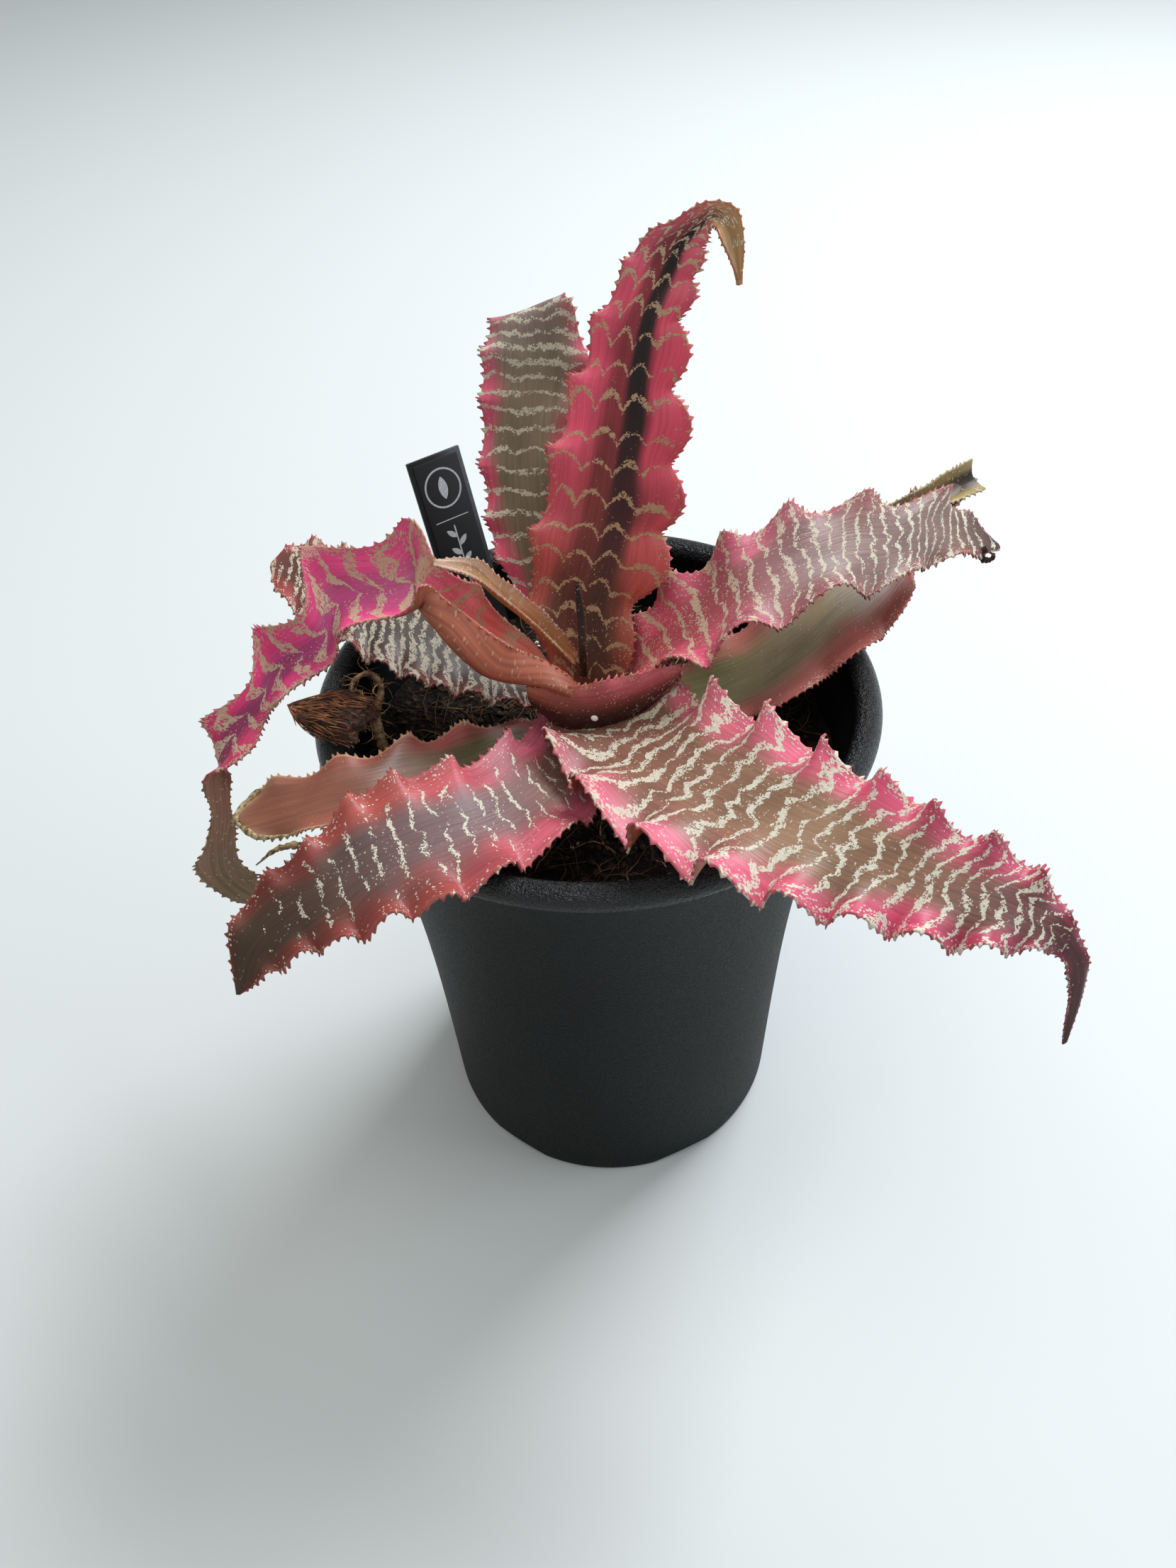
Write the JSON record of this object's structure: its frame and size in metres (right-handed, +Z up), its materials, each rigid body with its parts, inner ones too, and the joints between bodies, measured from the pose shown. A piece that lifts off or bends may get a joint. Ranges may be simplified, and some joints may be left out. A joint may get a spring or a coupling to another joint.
{
  "type": "potted bromeliad",
  "caption": "Earth star bromeliad with ruffled, toothed pink and mauve leaves under pale cross bands, in a black flared nursery pot with a plant label.",
  "frame": {"origin": "on the pot's axis, on the surface it stands on, at the middle of the flat pad under the pot", "axes": "+Z up along the pot's axis, +X to the right and -Y towards the front of the plant, where the two long front leaves spread"},
  "size_m": [0.2161, 0.1593, 0.2462],
  "materials": {
    "leaf_front_right": "leathery leaf with pale scurf bands",
    "leaf_front_left": "leathery leaf with pale scurf bands",
    "leaf_low_left": "leathery leaf with pale scurf bands",
    "leaf_arching_left": "leathery leaf with pale scurf bands",
    "leaf_back_left": "leathery leaf with pale scurf bands",
    "leaf_right": "leathery leaf with pale scurf bands",
    "leaf_right_under": "leathery leaf with pale scurf bands",
    "leaf_upright_centre": "leathery leaf with pale scurf bands",
    "leaf_upright_back": "leathery leaf with pale scurf bands",
    "leaf_inner": "leathery leaf with pale scurf bands",
    "dried_leaf": "dry, matt",
    "stem": "matt, leaf scars",
    "pot": "moulded black plastic, fine spark texture",
    "soil": "dark potting mix with fibres",
    "label": "satin black plastic",
    "sticker": "matt print",
    "coir": "matted fibre",
    "root": "dry root",
    "perlite": "chalky"
  },
  "bodies": {
    "root": {"leaf_front_right": "leaf_front_right", "leaf_front_left": "leaf_front_left", "leaf_low_left": "leaf_low_left", "leaf_arching_left": "leaf_arching_left", "leaf_back_left": "leaf_back_left", "leaf_right": "leaf_right", "leaf_right_under": "leaf_right_under", "leaf_upright_centre": "leaf_upright_centre", "leaf_upright_back": "leaf_upright_back", "leaf_inner": "leaf_inner", "dried_sliver": "dried_leaf", "stem": "stem", "pot": "pot", "soil": "soil", "label_stake": "label", "label_sticker": "sticker", "coir_chunk": "coir", "dead_root": "root", "perlite_bead": "perlite"}
  },
  "joints": []
}
